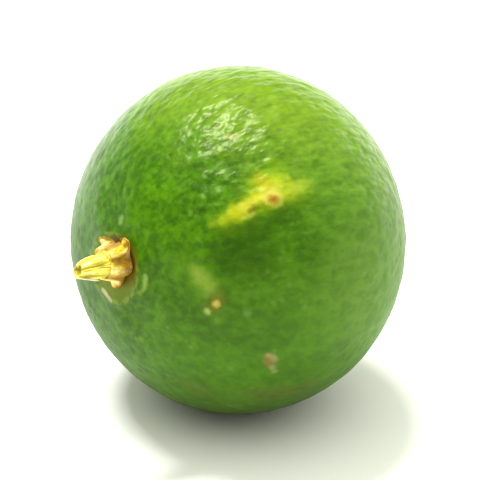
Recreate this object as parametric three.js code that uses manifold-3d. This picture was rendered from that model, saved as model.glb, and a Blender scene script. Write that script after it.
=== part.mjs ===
// A calamansi as picked: one small, slightly flattened citrus fruit lying on its side, with its
// five-lobed calyx and a short snapped stem still on it.
// Millimetres, +Z up. The origin is the middle of the small flat spot that the fruit rests on.
// A turn is an angle round the stem axis: 0 faces the surface, 180 degrees faces up.
import * as THREE from "three";
import { mergeVertices } from "three/addons/utils/BufferGeometryUtils.js";
import Module from "manifold-3d";

// The fruit's body
const EQUATOR_RADIUS = 15.0; // across the stem axis
const POLE_RADIUS = 13.9; // along the stem axis
const FRUIT_SIDES = 72;
const FRUIT_RINGS = 40;
const RING_CROWDING = 0.6; // 0 spaces the rings evenly, 1 crowds them all at the two ends
const WAIST_SWELL = 0.1; // how far the waist is from a true circle
const WAIST_LOBES = 2;
const WAIST_TURN = THREE.MathUtils.degToRad(-17);
const SIDE_SWELL = 0.07; // how far the sides of the two ends stand out
const SIDE_LOBES = 3;
const SIDE_TURN = THREE.MathUtils.degToRad(21);

// How the fruit lies
const STEM_AZIMUTH = THREE.MathUtils.degToRad(223.4); // from +X towards +Y
const STEM_ELEVATION = THREE.MathUtils.degToRad(12); // above the surface
const FLAT_DEPTH = 0.24; // how much of the underside the flat spot takes away
const FLOOR_BLOCK = 60; // side of the block that cuts the flat spot

// The stem end: a shallow seat under the calyx, a low collar round it and faint grooves running out
const SEAT_DEPTH = 0.3;
const SEAT_RADIUS = 1.7;
const COLLAR_HEIGHT = 0.18;
const COLLAR_RADIUS = 3.1;
const COLLAR_WIDTH = 0.6;
const GROOVE_DEPTH = 0.07;
const GROOVE_COUNT = 6;
const GROOVE_RADIUS = 5.2;
const GROOVE_WIDTH = 2.0;

// The blossom end: a small dimple round the scar of the style
const DIMPLE_DEPTH = 0.35;
const DIMPLE_RADIUS = 1.1;

// The calyx: five blunt sepals round a steep dome with a flat crown
const SEPAL_COUNT = 5;
const SEPAL_TURN = THREE.MathUtils.degToRad(226); // the first sepal, the one that curls up most
const SEPAL_TIPS = [2.4, 2.5, 2.4, 1.75, 2.45]; // each sepal's reach from the stem axis
const SEPAL_LIFTS = [0.8, 0.3, 0.25, 0.1, 0.45]; // how far each tip curls off the skin
const NOTCH_RADIUS = 1.5;
const SEPAL_POINT = 1.7; // over 1 draws the sepals out to a point
const CALYX_SIDES = 80;
const CALYX_EDGE = 0.42; // thickness at the rim
const CALYX_CROWN = 1.95; // height of the crown over the seat
const CROWN_RADIUS = 1.15;
const DOME_RADIUS = 1.9; // where the dome runs out into the sepals
const SEPAL_KEEL = 0.16; // ridge down the middle of each sepal
const UNDER_STATIONS = [0, 0.25, 0.5, 0.75, 0.92]; // shares of the way out to the rim
const RIM_STATIONS = [0.25, 0.75]; // shares of the way up the rim
const OVER_STATIONS = [0.92, 0.82, 0.72, 0.62, 0.52, 0.42, 0.25, 0];
const CLEARANCE = 0.15; // between one piece and the next

// The stem: a tapering, ridged stub with a slanting snapped end
const STEM_ROOT_RADIUS = 0.98;
const STEM_WAIST_RADIUS = 0.9;
const STEM_TIP_RADIUS = 0.52;
const STEM_LENGTH = 2.75;
const STEM_SIDES = 30;
const STEM_STEPS = 10;
const STEM_RIDGE = 0.12; // share of the radius
const RIDGE_START = 0.25; // share of the length over which the ridges grow to their full height
const STEM_SHIFT = 0.15; // how far the foot is off the stem axis
const STEM_BEND = 0.1; // how much further off the tip is
const BEND_TURN = THREE.MathUtils.degToRad(5); // the side to which both are off
const SNAP_SLANT = 0.15; // how much higher one side of the snapped end is than its middle
const SNAP_DOME = 0.04; // how far the end's middle stands out, as a share of the length

const wasm = await Module();
wasm.setup();

/** A soft bump of height 1 at distance centre, falling to nothing about two widths away. */
function bump(distance, centre, width) {
  return Math.exp(-(((distance - centre) / width) ** 2));
}

/** Height of the skin over an even spheroid near the stem, r away from the stem axis. */
function stemEndRelief(r, turn) {
  const grooves = GROOVE_DEPTH * Math.cos(GROOVE_COUNT * turn) * bump(r, GROOVE_RADIUS, GROOVE_WIDTH);
  return (
    COLLAR_HEIGHT * bump(r, COLLAR_RADIUS, COLLAR_WIDTH) - SEAT_DEPTH * bump(r, 0, SEAT_RADIUS) + grooves
  );
}

/** Height of the skin over the fruit's middle at the stem end, r away from the stem axis. */
function seatHeight(r, turn) {
  return POLE_RADIUS * Math.sqrt(1 - (r / EQUATOR_RADIUS) ** 2) + stemEndRelief(r, turn);
}

/** The geometry with only its positions left, and vertices that share a place made one. */
function welded(geometry) {
  geometry.deleteAttribute("normal");
  geometry.deleteAttribute("uv");
  return mergeVertices(geometry);
}

/** A lathe of the profile about +Z, closed at both ends, whose points reshape then moves. */
function turned(profile, sides, reshape) {
  const geometry = welded(new THREE.LatheGeometry(profile, sides).rotateX(Math.PI / 2));
  const points = geometry.getAttribute("position");
  const point = new THREE.Vector3();
  for (let i = 0; i < points.count; i += 1) {
    point.fromBufferAttribute(points, i);
    reshape(point, Math.hypot(point.x, point.y), Math.atan2(point.y, point.x));
    points.setXYZ(i, point.x, point.y, point.z);
  }
  return geometry;
}

/** A closed, welded geometry as a solid that can be cut. */
function solidOf(geometry) {
  return new wasm.Manifold(
    new wasm.Mesh({
      numProp: 3,
      vertProperties: new Float32Array(geometry.getAttribute("position").array),
      triVerts: new Uint32Array(geometry.index.array),
    }),
  );
}

/** A cut solid as a geometry again. */
function geometryOf(solid) {
  const mesh = solid.getMesh();
  return new THREE.BufferGeometry()
    .setAttribute("position", new THREE.BufferAttribute(mesh.vertProperties, 3))
    .setIndex(new THREE.BufferAttribute(mesh.triVerts, 1));
}

/** The fruit's body about its own middle, with the stem end at +Z. */
function fruitBody() {
  const profile = [];
  for (let ring = 0; ring <= FRUIT_RINGS; ring += 1) {
    const share = ring / FRUIT_RINGS;
    const crowded = share - (RING_CROWDING * Math.sin(2 * Math.PI * share)) / (2 * Math.PI);
    const angle = Math.PI * (1 - crowded);
    const onAxis = ring === 0 || ring === FRUIT_RINGS;
    const radius = onAxis ? 0 : EQUATOR_RADIUS * Math.sin(angle);
    profile.push(new THREE.Vector2(radius, POLE_RADIUS * Math.cos(angle)));
  }
  return turned(profile, FRUIT_SIDES, (point, r, turn) => {
    const along = point.z / POLE_RADIUS;
    const across = r / EQUATOR_RADIUS;
    const swell =
      WAIST_SWELL * Math.cos(WAIST_LOBES * (turn - WAIST_TURN)) * across ** 2 +
      SIDE_SWELL * Math.cos(SIDE_LOBES * (turn - SIDE_TURN)) * along * across ** 2;
    const relief = along > 0 ? stemEndRelief(r, turn) : -DIMPLE_DEPTH * bump(r, 0, DIMPLE_RADIUS);
    point.addScaledVector(point.clone().normalize(), swell + relief);
  });
}

/** Everything under the surface that the fruit rests on. */
function floorBlock() {
  const block = new THREE.BoxGeometry(FLOOR_BLOCK, FLOOR_BLOCK, FLOOR_BLOCK);
  return welded(block.translate(0, 0, -FLOOR_BLOCK / 2));
}

/** A sepal's share of the way from notch (0) to tip (1) at this turn, and which sepal it is. */
function sepalAt(turn) {
  const places = ((turn - SEPAL_TURN) / (2 * Math.PI)) * SEPAL_COUNT;
  const nearest = Math.round(places);
  const sepal = ((nearest % SEPAL_COUNT) + SEPAL_COUNT) % SEPAL_COUNT;
  return { sepal, share: Math.cos((places - nearest) * Math.PI) ** SEPAL_POINT };
}

/** The calyx, seated on the stem end of the body. Its profile runs to a rim of radius 1. */
function calyxBody() {
  const { lerp, smoothstep } = THREE.MathUtils;
  const under = UNDER_STATIONS.map((share) => new THREE.Vector2(share, 0));
  const rim = RIM_STATIONS.map((share) => new THREE.Vector2(1, share));
  const over = OVER_STATIONS.map((share) => new THREE.Vector2(share, 1));
  const crown = seatHeight(0, 0) + CLEARANCE + CALYX_CROWN;
  return turned([...under, ...rim, ...over], CALYX_SIDES, (point, reach, turn) => {
    const { sepal, share } = sepalAt(turn);
    const r = reach * lerp(NOTCH_RADIUS, SEPAL_TIPS[sepal], share);
    const underside = seatHeight(r, turn) + CLEARANCE + SEPAL_LIFTS[sepal] * share * reach ** 3;
    const dome = CALYX_CROWN * (1 - smoothstep(r, CROWN_RADIUS, DOME_RADIUS));
    const keel = SEPAL_KEEL * share ** 3 * smoothstep(r, CROWN_RADIUS, NOTCH_RADIUS);
    const topside = r <= CROWN_RADIUS ? crown : Math.min(underside + CALYX_EDGE + dome + keel, crown);
    point.set(r * Math.cos(turn), r * Math.sin(turn), lerp(underside, topside, point.z));
  });
}

/** The snapped stem, standing on the calyx. Its profile has height 0 to 1. */
function stemBody() {
  const profile = [new THREE.Vector2(0, 0), new THREE.Vector2(STEM_ROOT_RADIUS / 2, 0)];
  for (let step = 0; step <= STEM_STEPS; step += 1) {
    const share = step / STEM_STEPS;
    const root = (STEM_ROOT_RADIUS - STEM_WAIST_RADIUS) * (1 - share) ** 4;
    const taper = (STEM_WAIST_RADIUS - STEM_TIP_RADIUS) * share ** 3;
    profile.push(new THREE.Vector2(STEM_WAIST_RADIUS + root - taper, share));
  }
  profile.push(new THREE.Vector2(STEM_TIP_RADIUS / 2, 1 + SNAP_DOME / 2));
  profile.push(new THREE.Vector2(0, 1 + SNAP_DOME));
  const foot = seatHeight(0, 0) + 2 * CLEARANCE + CALYX_CROWN;
  return turned(profile, STEM_SIDES, (point, r, turn) => {
    const height = point.z;
    const grown = Math.min(1, height / RIDGE_START);
    const ridge = 1 + STEM_RIDGE * grown * Math.cos(SEPAL_COUNT * (turn - SEPAL_TURN));
    const slant = (SNAP_SLANT * height ** 4 * point.x) / STEM_TIP_RADIUS;
    const shift = STEM_SHIFT + STEM_BEND * height ** 2;
    point.x = point.x * ridge + shift * Math.cos(BEND_TURN);
    point.y = point.y * ridge + shift * Math.sin(BEND_TURN);
    point.z = foot + STEM_LENGTH * height + slant;
  });
}

/** Where the fruit's middle is once its lowest point, less the flat spot, is at the origin. */
function restPlace() {
  const across = EQUATOR_RADIUS * Math.cos(STEM_ELEVATION);
  const along = POLE_RADIUS * Math.sin(STEM_ELEVATION);
  const height = Math.hypot(across, along);
  const lean = (EQUATOR_RADIUS ** 2 - POLE_RADIUS ** 2) * Math.sin(STEM_ELEVATION);
  const aside = (lean * Math.cos(STEM_ELEVATION)) / height;
  const x = -aside * Math.cos(STEM_AZIMUTH);
  const y = -aside * Math.sin(STEM_AZIMUTH);
  return new THREE.Vector3(x, y, height - FLAT_DEPTH);
}

// The turn from the fruit's own axes, stem at +Z, to the way it lies
const lying = new THREE.Group();
lying.rotation.set(0, Math.PI / 2 - STEM_ELEVATION, STEM_AZIMUTH, "ZYX");
lying.position.copy(restPlace());
lying.updateMatrix();

const rind = new THREE.MeshStandardMaterial({ color: 0x4f8f24, roughness: 0.38, metalness: 0 });
const husk = new THREE.MeshStandardMaterial({ color: 0xb98a2c, roughness: 0.7, metalness: 0 });
const wood = new THREE.MeshStandardMaterial({ color: 0xd9c64a, roughness: 0.65, metalness: 0 });

const laidBody = solidOf(fruitBody().applyMatrix4(lying.matrix));
const fruit = new THREE.Mesh(geometryOf(laidBody.subtract(solidOf(floorBlock()))), rind);
fruit.name = "fruit";

const calyx = new THREE.Mesh(calyxBody(), husk);
calyx.name = "calyx";

const stem = new THREE.Mesh(stemBody(), wood);
stem.name = "stem";

lying.add(calyx, stem);

const calamansi = new THREE.Group();
calamansi.add(fruit, lying);

export default calamansi;
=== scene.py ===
"""Looks of a calamansi: a small green citrus fruit lying on its side, with its calyx and snapped stem.

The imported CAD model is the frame. Each piece here stands for one of its nodes. Sizes are in
millimetres, about the fruit's own middle with the stem at +Z, until a mesh is made in metres in the
row frame. A turn is an angle round the stem axis: 0 faces the surface, 180 degrees faces up.
"""

import logging
import math
from collections.abc import Callable
from dataclasses import dataclass
from enum import Enum

import bpy
import numpy as np
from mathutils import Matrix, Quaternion, Vector, kdtree, noise

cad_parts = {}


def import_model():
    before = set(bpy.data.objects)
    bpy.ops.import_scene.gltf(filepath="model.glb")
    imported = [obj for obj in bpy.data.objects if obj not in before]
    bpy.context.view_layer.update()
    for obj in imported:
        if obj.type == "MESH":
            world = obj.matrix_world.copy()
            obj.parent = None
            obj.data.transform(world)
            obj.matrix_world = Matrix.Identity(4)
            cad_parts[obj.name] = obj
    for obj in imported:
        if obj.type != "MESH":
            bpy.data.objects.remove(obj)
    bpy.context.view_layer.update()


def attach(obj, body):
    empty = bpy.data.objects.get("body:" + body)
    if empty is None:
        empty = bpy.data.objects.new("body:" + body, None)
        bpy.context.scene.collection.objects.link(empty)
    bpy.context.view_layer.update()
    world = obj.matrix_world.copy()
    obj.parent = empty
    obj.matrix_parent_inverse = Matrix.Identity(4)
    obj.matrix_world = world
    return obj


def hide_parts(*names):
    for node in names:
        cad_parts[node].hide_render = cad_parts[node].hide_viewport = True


MM = 0.001
BODY = "root"
LIGHT = 2.1  # how bright a white surface is under the studio's light, where 1 shows as white

Colour = tuple[float, float, float]
Way = tuple[float, float, float]
Layer = tuple[float, float, float]  # of noise: its height, its period and how far it is shifted
log = logging.getLogger("calamansi")


def srgb(red: int, green: int, blue: int) -> Colour:
    """A display colour, 0 to 255 a channel, as the linear colour that a shader takes."""
    return tuple(((c / 255 + 0.055) / 1.055) ** 2.4 if c > 10 else c / 3295 for c in (red, green, blue))


def seen(red: int, green: int, blue: int) -> Colour:
    """The colour of a surface that shows as this display colour under the studio's light."""
    return tuple(c / LIGHT for c in srgb(red, green, blue))


def smoothstep(x: np.ndarray, low: float, high: float) -> np.ndarray:
    """0 below low and 1 above high, with a smooth rise between."""
    t = np.clip((x - low) / (high - low), 0, 1)
    return t * t * (3 - 2 * t)


def bump(distance: np.ndarray, centre: float, width: float) -> np.ndarray:
    """A soft bump of height 1 at centre, falling to nothing about two widths away."""
    return np.exp(-(((distance - centre) / width) ** 2))


def grain(points: np.ndarray, period: float, shift: float) -> np.ndarray:
    """Smooth noise from -1 to 1 at each point.

    Args:
        points: One row of millimetres a point.
        period: Rough distance from one hill of the noise to the next, in millimetres.
        shift: Moves the pattern, so that two calls differ.

    Returns:
        One number a point.
    """
    moved = points / period + shift
    return np.array([noise.noise(Vector(row)) for row in moved.tolist()])


def grains(points: np.ndarray, layers: tuple[Layer, ...]) -> np.ndarray:
    """Layers of noise on one another."""
    return sum(height * grain(points, period, shift) for height, period, shift in layers)


def polar(r: object, turn: np.ndarray, height: np.ndarray) -> np.ndarray:
    """Points r from the stem axis, at a turn round it and a height along it."""
    return np.stack([r * np.cos(turn), r * np.sin(turn), height], 1)


def turns_round(sides: int) -> np.ndarray:
    """Even turns once round, in radians."""
    return np.arange(sides) * 2 * math.pi / sides


def plain(vector: np.ndarray) -> tuple[float, ...]:
    """A vector as plain numbers, for a shader."""
    return tuple(float(x) for x in vector)


def arithmetic(operation: str) -> tuple[Callable, Callable]:
    """Makes the methods of Wire for an operator.

    Args:
        operation: The Math node's operation.

    Returns:
        The method and its reflected form.
    """

    def forward(self: "Wire", other: object) -> "Wire":
        """The operation on self and other."""
        return self.combine(operation, self, other)

    def reflected(self: "Wire", other: object) -> "Wire":
        """The operation on other and self."""
        return self.combine(operation, other, self)

    return forward, reflected


class Wire:
    """The output of a node. Arithmetic on it adds the nodes that work it out."""

    def __init__(self, nodes: "Nodes", socket: bpy.types.NodeSocket) -> None:
        """Keeps the socket and the nodes that it belongs to."""
        self.nodes = nodes
        self.socket = socket

    @property
    def is_vector(self) -> bool:
        """Whether it carries a colour or a vector."""
        return self.socket.type in {"VECTOR", "RGBA"}

    def combine(self, operation: str, *terms: object) -> "Wire":
        """Adds one Math node, or one Vector Math node where a vector or colour takes part.

        Args:
            operation: The node's operation.
            terms: Wires, numbers or vectors, in order.

        Returns:
            The node's output.
        """
        vector = any(isinstance(x, tuple) or getattr(x, "is_vector", False) for x in terms)
        kind = "ShaderNodeVectorMath" if vector else "ShaderNodeMath"
        return self.nodes.node(kind, {"operation": operation}, dict(enumerate(terms)))

    __add__, __radd__ = arithmetic("ADD")
    __sub__, __rsub__ = arithmetic("SUBTRACT")
    __mul__, __rmul__ = arithmetic("MULTIPLY")

    def __abs__(self) -> "Wire":
        """Its size without its sign."""
        return self.combine("ABSOLUTE", self)

    def within(self, low: float, high: float) -> "Wire":
        """It, but never below low or above high."""
        return self.nodes.node("ShaderNodeClamp", {}, {"Value": self, "Min": low, "Max": high})

    def dot(self, direction: tuple) -> "Wire":
        """How far this vector reaches along a direction."""
        settings = {"operation": "DOT_PRODUCT"}
        return self.nodes.node("ShaderNodeVectorMath", settings, {0: self, 1: direction}, "Value")

    def scale(self, direction: tuple) -> "Wire":
        """A fixed vector times this number."""
        return self.nodes.node("ShaderNodeVectorMath", {"operation": "SCALE"}, {0: direction, "Scale": self})

    def length(self) -> "Wire":
        """This vector's length."""
        return self.nodes.node("ShaderNodeVectorMath", {"operation": "LENGTH"}, {0: self}, "Value")

    def rise(self, low: float, high: float) -> "Wire":
        """0 where it is at low and 1 where it is at high, smooth between; low may be the larger."""
        sockets = {"Value": self, "From Min": low, "From Max": high}
        return self.nodes.node("ShaderNodeMapRange", {"interpolation_type": "SMOOTHSTEP"}, sockets)


class Nodes:
    """The nodes of a material or of the world."""

    def __init__(self, tree: bpy.types.NodeTree) -> None:
        """Starts with an empty tree."""
        self.tree = tree
        self.tree.nodes.clear()

    def node(self, kind: str, settings: dict, sockets: dict, output: str = "") -> Wire:
        """Adds any node.

        Args:
            kind: The node's type.
            settings: Its own properties, set before its sockets.
            sockets: A value or a Wire for each input, by name or by number.
            output: Which output is wanted, the first that is in use if left out.

        Returns:
            The wanted output.
        """
        made = self.tree.nodes.new(kind)
        for name, value in settings.items():
            setattr(made, name, value)
        for key, value in sockets.items():
            self.feed(self.pick(made.inputs, key), value)
        return Wire(self, self.pick(made.outputs, output or 0))

    @staticmethod
    def pick(sockets: object, key: object) -> bpy.types.NodeSocket:
        """The socket of that name, or of that number, among those in use."""
        used = [s for s in sockets if s.enabled]
        return used[key] if isinstance(key, int) else next(s for s in used if s.name == key)

    def feed(self, socket: bpy.types.NodeSocket, value: object) -> None:
        """Links a Wire to a socket, or sets the socket.

        Args:
            socket: An input of a node.
            value: A Wire, a number, a vector or a colour.
        """
        if isinstance(value, Wire):
            self.tree.links.new(value.socket, socket)
        elif socket.type == "RGBA":
            socket.default_value = (*value, 1.0)
        elif socket.type == "VECTOR" and isinstance(value, (int, float)):
            socket.default_value = (value, value, value)
        else:
            socket.default_value = value

    def mix(self, factor: object, first: object, second: object) -> Wire:
        """The first colour where factor is 0, the second where it is 1."""
        sockets = {"Factor": factor, "A": first, "B": second}
        return self.node("ShaderNodeMix", {"data_type": "RGBA"}, sockets)

    def end(self, kind: str, last: bpy.types.NodeSocket) -> None:
        """Adds the output node and links the last socket to its surface."""
        self.tree.links.new(last, self.tree.nodes.new(kind).inputs["Surface"])


class Shader(Nodes):
    """A material made of nodes round one Principled shader."""

    def __init__(self, name: str) -> None:
        """Makes a material with only a Principled shader on its output.

        Args:
            name: The material's name.
        """
        self.material = bpy.data.materials.new(name)
        self.material.use_nodes = True
        super().__init__(self.material.node_tree)
        self.surface = self.tree.nodes.new("ShaderNodeBsdfPrincipled")
        self.end("ShaderNodeOutputMaterial", self.surface.outputs[0])

    def set(self, **inputs: object) -> None:
        """Feeds the Principled shader's inputs, each named with _ for a space."""
        for name, value in inputs.items():
            self.feed(self.surface.inputs[name.replace("_", " ").title().replace("Ior", "IOR")], value)

    def noise(self, vector: Wire, period: float, detail: float = 2.0, rough: float = 0.5) -> Wire:
        """Cloudy noise, mostly 0.3 to 0.7, with that many millimetres from hill to hill."""
        sockets = {"Vector": vector, "Scale": 1 / period, "Detail": detail, "Roughness": rough}
        return self.node("ShaderNodeTexNoise", {}, sockets, "Fac")

    def cells(self, vector: Wire, period: float) -> Wire:
        """How far each place is from the nearest of spots about period millimetres apart."""
        return self.node("ShaderNodeTexVoronoi", {}, {"Vector": vector, "Scale": 1 / period}, "Distance")

    def attribute(self, name: str) -> Wire:
        """A number that the mesh holds at each of its points."""
        return self.node("ShaderNodeAttribute", {"attribute_name": name}, {}, "Fac")

    def relief(self, height: Wire, depth: float, strength: float = 1.0) -> Wire:
        """A normal that shows height, 0 to 1, as relief of that many millimetres."""
        sockets = {"Strength": strength, "Distance": depth * MM, "Height": height}
        return self.node("ShaderNodeBump", {}, sockets)


def make_mesh(name: str, points: np.ndarray, faces: list, values: dict[str, np.ndarray]) -> bpy.types.Object:
    """A smooth mesh object at the origin.

    Args:
        name: The piece's name.
        points: Its vertices in the row frame, in metres.
        faces: Lists of vertex numbers.
        values: Numbers to keep at each vertex, by name.

    Returns:
        The new object, in the scene.
    """
    mesh = bpy.data.meshes.new(name)
    mesh.from_pydata(points.tolist(), [], faces)
    for key, numbers in values.items():
        mesh.attributes.new(key, "FLOAT", "POINT").data.foreach_set("value", numbers.astype(np.float32))
    mesh.shade_smooth()
    mesh.validate()
    made = bpy.data.objects.new(name, mesh)
    bpy.context.scene.collection.objects.link(made)
    return made


def ring_faces(rings: int, sides: int) -> list:
    """Faces between rings of vertices, closed by a vertex before the first ring and one after the last.

    Args:
        rings: How many rings there are.
        sides: How many vertices each ring has.

    Returns:
        The faces, as vertex numbers.
    """
    faces = []
    for side in range(sides):
        after = (side + 1) % sides
        faces.append((0, 1 + after, 1 + side))
        for ring in range(rings - 1):
            low = 1 + ring * sides
            faces.append((low + side, low + after, low + sides + after, low + sides + side))
        last = 1 + (rings - 1) * sides
        faces.append((last + side, last + after, 1 + rings * sides))
    return faces


@dataclass(frozen=True)
class Lie:
    """How the fruit lies on the surface, as the CAD model has it."""

    equator_radius: float = 15.0
    pole_radius: float = 13.9
    stem_azimuth: float = 223.4  # degrees from +X towards +Y
    stem_elevation: float = 12.0  # degrees above the surface
    flat_depth: float = 0.24

    def axes(self) -> np.ndarray:
        """The fruit's own axes.

        Returns:
            Its X, Y and Z in the row frame, one a column.
        """
        azimuth, tip = math.radians(self.stem_azimuth), math.radians(90 - self.stem_elevation)
        lean = np.array([[math.cos(tip), 0, math.sin(tip)], [0, 1, 0], [-math.sin(tip), 0, math.cos(tip)]])
        c, s = math.cos(azimuth), math.sin(azimuth)
        return np.array([[c, -s, 0], [s, c, 0], [0, 0, 1]]) @ lean

    def middle(self) -> np.ndarray:
        """Where the fruit's middle is.

        Returns:
            The place in the row frame, in millimetres.
        """
        azimuth, elevation = math.radians(self.stem_azimuth), math.radians(self.stem_elevation)
        across = self.equator_radius * math.cos(elevation)
        height = math.hypot(across, self.pole_radius * math.sin(elevation))
        lean = (self.equator_radius**2 - self.pole_radius**2) * math.sin(elevation)
        aside = lean * math.cos(elevation) / height
        return np.array([-aside * math.cos(azimuth), -aside * math.sin(azimuth), height - self.flat_depth])

    def laid(self, points: np.ndarray) -> np.ndarray:
        """Points about the fruit's middle, in millimetres, in the row frame in millimetres."""
        return points @ self.axes().T + self.middle()

    def on_skin(self, tilt: float, turn: float) -> np.ndarray:
        """A point of the even spheroid.

        Args:
            tilt: Degrees from the stem.
            turn: Degrees round it.

        Returns:
            The point from the fruit's middle, along row axes, in millimetres.
        """
        a, b = math.radians(tilt), math.radians(turn)
        way = np.array([math.sin(a) * math.cos(b), math.sin(a) * math.sin(b), math.cos(a)])
        stretch = np.array([self.equator_radius, self.equator_radius, self.pole_radius])
        return self.axes() @ (way / np.linalg.norm(way / stretch))


class Coat(Shader):
    """The look of a piece of the fruit: colours laid over one another."""

    def __init__(self, name: str, lie: Lie, ground: Colour) -> None:
        """Starts from one colour, and finds each point's place from the fruit's middle in millimetres.

        Args:
            name: The material's name.
            lie: How the fruit lies.
            ground: The lowest colour.
        """
        super().__init__(name)
        self.colour = ground
        self.lie = lie
        self.stem = plain(lie.axes()[:, 2])
        self.spot = self.node("ShaderNodeTexCoord", {}, {}, "Object") * (1 / MM) - plain(lie.middle())

    def over(self, factor: Wire, colour: Colour) -> None:
        """Lays a colour over the others, as much of it as factor says."""
        self.colour = self.mix(factor, self.colour, colour)

    def drawn(self, share: float) -> Wire:
        """The place drawn out along the fruit by a share, for a pattern that runs from end to end."""
        return self.spot - (share * self.spot.dot(self.stem)).scale(self.stem)


@dataclass(frozen=True)
class Stroke:
    """A soft patch of colour on the rind, from one place to another or round one place.

    Places are degrees from the stem and degrees round it.
    """

    start: tuple[float, float]
    end: tuple[float, float]
    radius: float
    colour: tuple[int, int, int]  # as it shows
    strength: float
    softness: float = 0.95  # share of the radius over which it fades out
    wander: float = 0.5  # how ragged it is, as a share of the radius


@dataclass(frozen=True)
class Scar:
    """Where the fruit rubbed on its tree: a streak under a low shoulder of skin."""

    start: tuple[float, float] = (40.4, 127.8)
    end: tuple[float, float] = (73.9, 131.0)
    ridge: float = 0.06  # height of its corky middle
    ridge_width: float = 0.7
    shoulder: float = 0.322  # the skin stands out 0.43 of this above the step and in as far below it
    shoulder_width: float = 2.4
    shoulder_drop: float = 1.2  # how far the step is below the streak
    reach: float = 1.3  # of both, as a share of half the length

    def frame(self, lie: Lie) -> tuple[np.ndarray, np.ndarray, np.ndarray, float]:
        """The scar's own axes.

        Args:
            lie: How the fruit lies.

        Returns:
            Its middle, its unit direction, the unit direction up across it, and half its length.
        """
        start, end = lie.on_skin(*self.start), lie.on_skin(*self.end)
        middle = (start + end) / 2
        middle *= lie.equator_radius / np.linalg.norm(middle)
        along = (end - start) / np.linalg.norm(end - start)
        across = np.cross(along, middle / np.linalg.norm(middle))
        across *= np.sign(across[2]) / np.linalg.norm(across)
        return middle, along, across, float(np.linalg.norm(end - start)) / 2


@dataclass
class Skin:
    """The form of the rind: the CAD model's swells and reliefs, and the finer ones over them."""

    lie: Lie
    scar: Scar
    waist_swell: float = 0.1
    waist_turn: float = -17.0
    side_swell: float = 0.07
    side_turn: float = 21.0
    seat_depth: float = 0.3
    seat_radius: float = 1.7
    collar_height: float = 0.12
    collar_radius: float = 3.0
    collar_width: float = 0.4
    collar_shift: float = 1.2  # how far the collar's middle is off the stem axis
    collar_turn: float = 323.0
    groove_depth: float = 0.07
    groove_count: int = 6
    groove_radius: float = 5.2
    groove_width: float = 2.0
    dimple_depth: float = 0.35
    dimple_radius: float = 1.1

    def collar_middle(self) -> np.ndarray:
        """The middle of the collar, off the stem axis, in the fruit's own axes."""
        turn = math.radians(self.collar_turn)
        return self.collar_shift * np.array([math.cos(turn), math.sin(turn), 0])

    def stem_end(self, r: np.ndarray, turn: np.ndarray) -> np.ndarray:
        """The skin's form near the stem.

        Args:
            r: Distance from the stem axis.
            turn: Angle round it, in radians.

        Returns:
            The height over an even spheroid.
        """
        grooves = self.groove_depth * np.cos(self.groove_count * turn)
        x, y, _ = self.collar_middle()
        ring = np.hypot(r * np.cos(turn) - x, r * np.sin(turn) - y)
        return (
            self.collar_height * bump(ring, self.collar_radius, self.collar_width)
            - self.seat_depth * bump(r, 0, self.seat_radius)
            + grooves * bump(r, self.groove_radius, self.groove_width)
        )

    def seat_height(self, r: np.ndarray, turn: np.ndarray) -> np.ndarray:
        """Height of the skin over the fruit's middle at the stem end."""
        even = self.lie.pole_radius * np.sqrt(1 - (r / self.lie.equator_radius) ** 2)
        return even + self.stem_end(r, turn)

    def height(self, ball: np.ndarray) -> np.ndarray:
        """The fruit's broad swells and the reliefs of its two ends.

        Args:
            ball: Points of a unit ball.

        Returns:
            The height over an even spheroid.
        """
        across = np.hypot(ball[:, 0], ball[:, 1])
        turn = np.arctan2(ball[:, 1], ball[:, 0])
        waist = self.waist_swell * np.cos(2 * (turn - math.radians(self.waist_turn)))
        side = self.side_swell * np.cos(3 * (turn - math.radians(self.side_turn))) * ball[:, 2]
        r = self.lie.equator_radius * across
        blossom = -self.dimple_depth * bump(r, 0, self.dimple_radius)
        return (waist + side) * across**2 + np.where(ball[:, 2] > 0, self.stem_end(r, turn), blossom)

    def scar_relief(self, points: np.ndarray) -> tuple[np.ndarray, np.ndarray]:
        """The scar's ridge and shoulder.

        Args:
            points: Points of the spheroid.

        Returns:
            The height at each point, and how much of each point is scar, 0 to 1.
        """
        middle, along, across, half = self.scar.frame(self.lie)
        offset = points @ self.lie.axes().T - middle
        t, s = offset @ along / half, offset @ across
        near = bump(np.linalg.norm(offset, axis=1), 0, half * self.scar.reach)
        body = smoothstep(1 - t**2, 0, 0.5) * bump(s, 0, self.scar.ridge_width) * near
        step = (s + self.scar.shoulder_drop) / self.scar.shoulder_width
        shoulder = self.scar.shoulder * step * np.exp(-(step**2)) * near
        return self.scar.ridge * body + shoulder, body


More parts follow.
